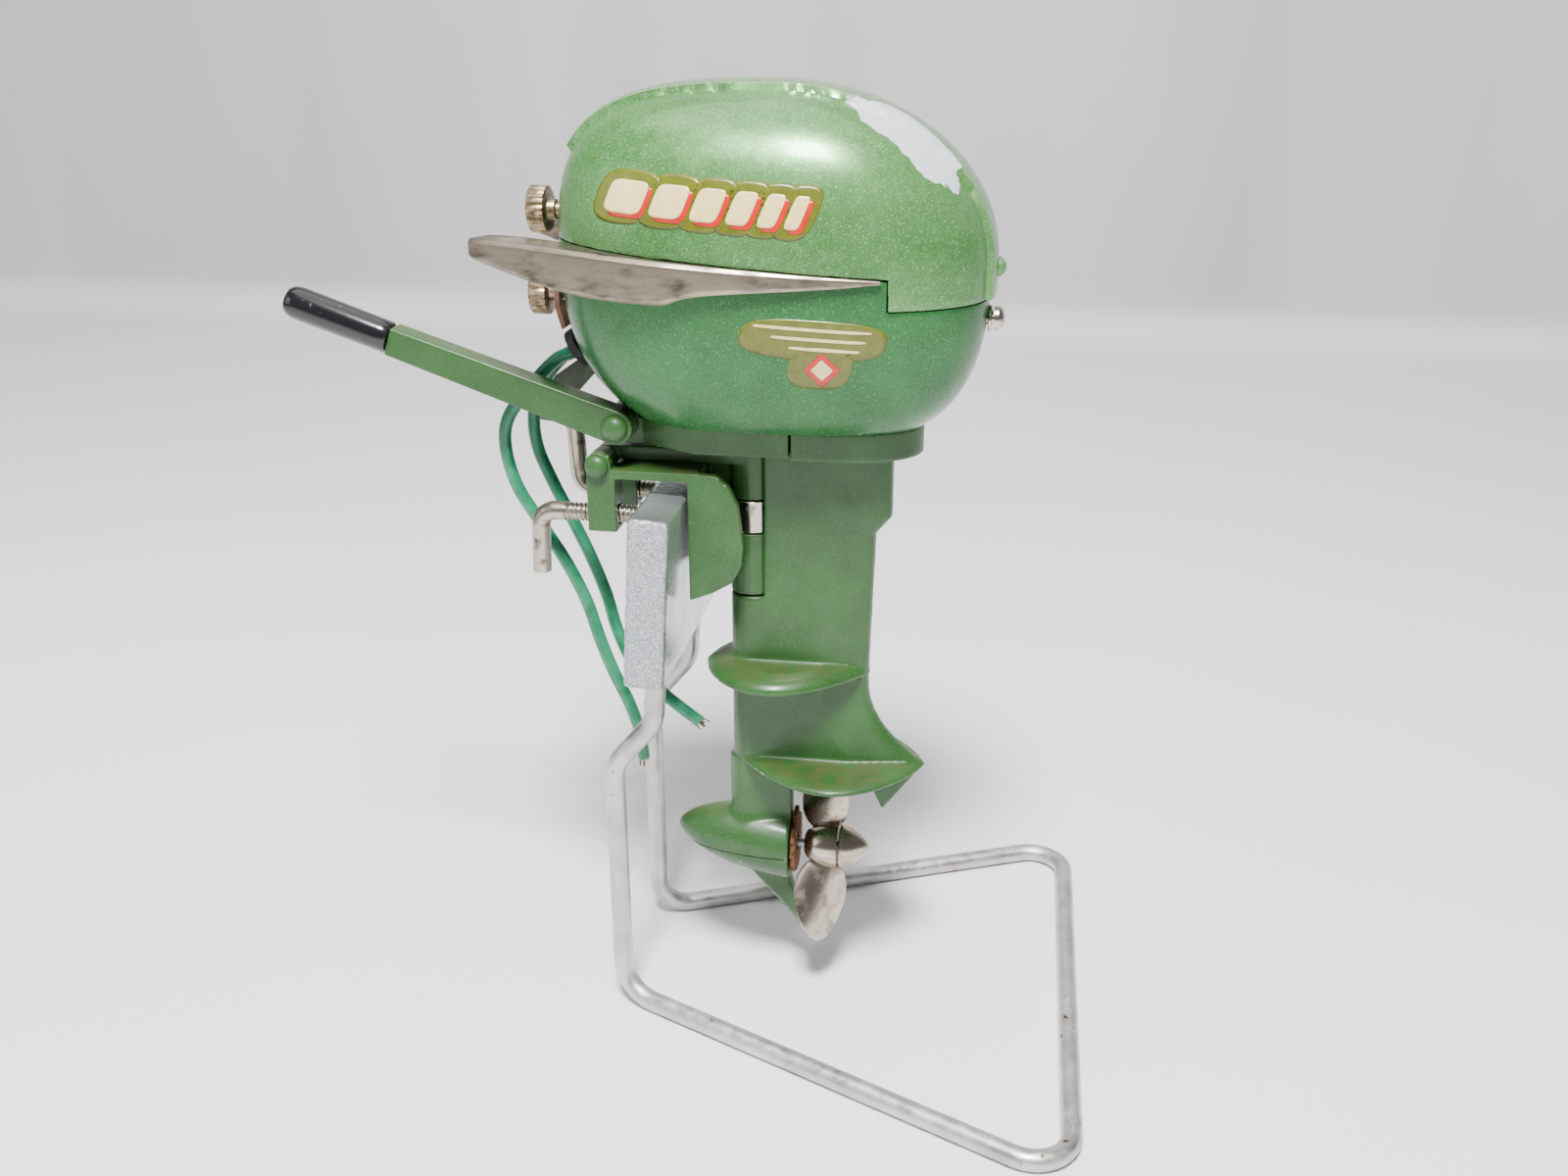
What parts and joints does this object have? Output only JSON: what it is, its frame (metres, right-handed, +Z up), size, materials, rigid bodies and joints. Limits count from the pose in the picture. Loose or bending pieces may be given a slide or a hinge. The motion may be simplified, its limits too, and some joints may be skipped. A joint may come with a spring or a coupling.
{
  "type": "outboard motor",
  "caption": "Miniature electric outboard motor with a green egg-shaped cowl, screw clamp, tiller, leg and propeller, on a bent-wire display stand.",
  "frame": {"origin": "on the surface the stand rests on, under the middle of the whole length and width", "axes": "+X aft, from the tiller's grip towards the propeller and the stand's closed end; +Y to starboard; +Z up, along the steering axis"},
  "size_m": [0.1248, 0.0872, 0.1469],
  "materials": {
    "hood_green": "light metallic green enamel with a fine sparkle",
    "cowl_green": "darker metallic green enamel",
    "casting_green": "satin olive green enamel, worn at the edges",
    "nickel": "warm tarnished nickel plate",
    "zinc_wire": "dull zinc plate with brown specks",
    "silver_paint": "silver paint, rough at the ends",
    "black_plastic": "moulded, glossy",
    "rubber": "matte",
    "lead_insulation": "soft teal green vinyl sleeve",
    "steel": "plain turned",
    "brass": "plain turned",
    "rusted_steel": "rusted brown",
    "brown_board": "pressed brown board",
    "ferrite": "sintered, dark grey"
  },
  "bodies": {
    "stand": {"stand_wire": "zinc_wire", "stand_block": "silver_paint"},
    "clamp": {"clamp_bracket": "casting_green", "tilt_pin": "casting_green"},
    "pad_port": {"clamp_pad_port": "nickel"},
    "screw_port": {"clamp_screw_port": "nickel"},
    "pad_starboard": {"clamp_pad_starboard": "nickel"},
    "screw_starboard": {"clamp_screw_starboard": "nickel"},
    "swivel": {"swivel_bracket": "casting_green", "swivel_band": "nickel"},
    "motor": {"steering_bracket": "casting_green", "steering_tube": "nickel", "leg_casting": "casting_green", "gear_cover": "casting_green", "tail_bush": "brass", "tail_washer": "rusted_steel", "hood": "hood_green", "lower_cowl": "cowl_green", "trim_band_starboard": "nickel", "trim_band_port": "nickel", "knob_collar": "brown_board", "rear_washer": "nickel", "rear_screw": "nickel", "hood_boss": "hood_green", "lever_screw": "nickel", "tiller_rivet": "casting_green", "motor_can": "steel", "motor_end_bell": "brown_board", "field_magnet_port": "ferrite", "field_magnet_starboard": "ferrite", "brush_port": "brass", "brush_starboard": "brass", "motor_screw_port": "steel", "motor_screw_starboard": "steel", "top_bearing": "brass", "cowl_screw_fore_port": "steel", "cowl_screw_fore_starboard": "steel", "cowl_screw_aft_port": "steel", "cowl_screw_aft_starboard": "steel", "lead_grommet": "rubber", "lead_wire_port": "lead_insulation", "lead_wire_starboard": "lead_insulation"},
    "tiller": {"tiller_arm": "casting_green", "tiller_grip": "black_plastic"},
    "lever": {"control_lever": "casting_green"},
    "knob_upper": {"upper_knob": "nickel"},
    "knob_lower": {"lower_knob": "nickel"},
    "rotor": {"armature_core": "steel", "armature_shaft": "steel", "commutator": "brass", "shaft_coupling": "brass", "drive_shaft": "steel", "drive_pinion": "brass"},
    "propeller": {"prop_shaft": "steel", "prop_gear": "brass", "propeller": "nickel", "prop_nut": "nickel"}
  },
  "joints": [
    {"name": "lift_off", "type": "slide", "parent": "stand", "child": "clamp", "axis": [0, 0, 1], "range_m": [0, 0.03], "deforming": ["lead_wire_port", "lead_wire_starboard"]},
    {"name": "clamp_pad_port_slide", "type": "slide", "parent": "clamp", "child": "pad_port", "axis": [-1, 0, 0], "range_m": [0, 0.00281], "deforming": ["lead_wire_port", "lead_wire_starboard"]},
    {"name": "clamp_screw_port_turn", "type": "hinge", "parent": "pad_port", "child": "screw_port", "pos_m": [-0.017, -0.0062, 0.0843], "axis": [-1, 0, 0], "range_deg": [0, 1440], "deforming": ["lead_wire_port", "lead_wire_starboard"]},
    {"name": "clamp_pad_starboard_slide", "type": "slide", "parent": "clamp", "child": "pad_starboard", "axis": [-1, 0, 0], "range_m": [0, 0.00281], "deforming": ["lead_wire_port", "lead_wire_starboard"]},
    {"name": "clamp_screw_starboard_turn", "type": "hinge", "parent": "pad_starboard", "child": "screw_starboard", "pos_m": [-0.017, 0.0062, 0.0843], "axis": [-1, 0, 0], "range_deg": [0, 1440], "deforming": ["lead_wire_port", "lead_wire_starboard"]},
    {"name": "tilt", "type": "hinge", "parent": "clamp", "child": "swivel", "pos_m": [-0.0147, 0, 0.0923], "axis": [0, -1, 0], "range_deg": [0, 50], "deforming": ["lead_wire_port", "lead_wire_starboard"]},
    {"name": "steer", "type": "hinge", "parent": "swivel", "child": "motor", "pos_m": [0.0074, 0, 0.082], "axis": [0, 0, 1], "range_deg": [-30, 30], "deforming": ["lead_wire_port", "lead_wire_starboard"]},
    {"name": "tiller_fold", "type": "hinge", "parent": "motor", "child": "tiller", "pos_m": [-0.0118, -0.0063, 0.0982], "axis": [0, 1, 0], "range_deg": [-15, 22]},
    {"name": "control_lever_swing", "type": "hinge", "parent": "motor", "child": "lever", "pos_m": [-0.0125, 0.01535, 0.1085], "axis": [0, 1, 0], "range_deg": [-20, 20]},
    {"name": "upper_knob_turn", "type": "hinge", "parent": "motor", "child": "knob_upper", "pos_m": [-0.022, 0, 0.1286], "axis": [-1, 0, 0], "range_deg": [-150, 150]},
    {"name": "lower_knob_turn", "type": "hinge", "parent": "motor", "child": "knob_lower", "pos_m": [-0.022, 0, 0.1166], "axis": [-1, 0, 0], "range_deg": [-150, 150]},
    {"name": "rotor_spin", "type": "hinge", "parent": "motor", "child": "rotor", "pos_m": [0.0074, 0, 0.1], "axis": [0, 0, 1], "continuous": true},
    {"name": "prop_spin", "type": "hinge", "parent": "motor", "child": "propeller", "pos_m": [0.017, 0, 0.0254], "axis": [1, 0, 0], "continuous": true}
  ],
  "couplings": [
    {"joint": "clamp_pad_port_slide", "follows": "clamp_screw_port_turn", "m_per_rad": 0.00011141},
    {"joint": "clamp_pad_starboard_slide", "follows": "clamp_screw_starboard_turn", "m_per_rad": 0.00011141},
    {"joint": "prop_spin", "follows": "rotor_spin", "ratio": 1}
  ]
}
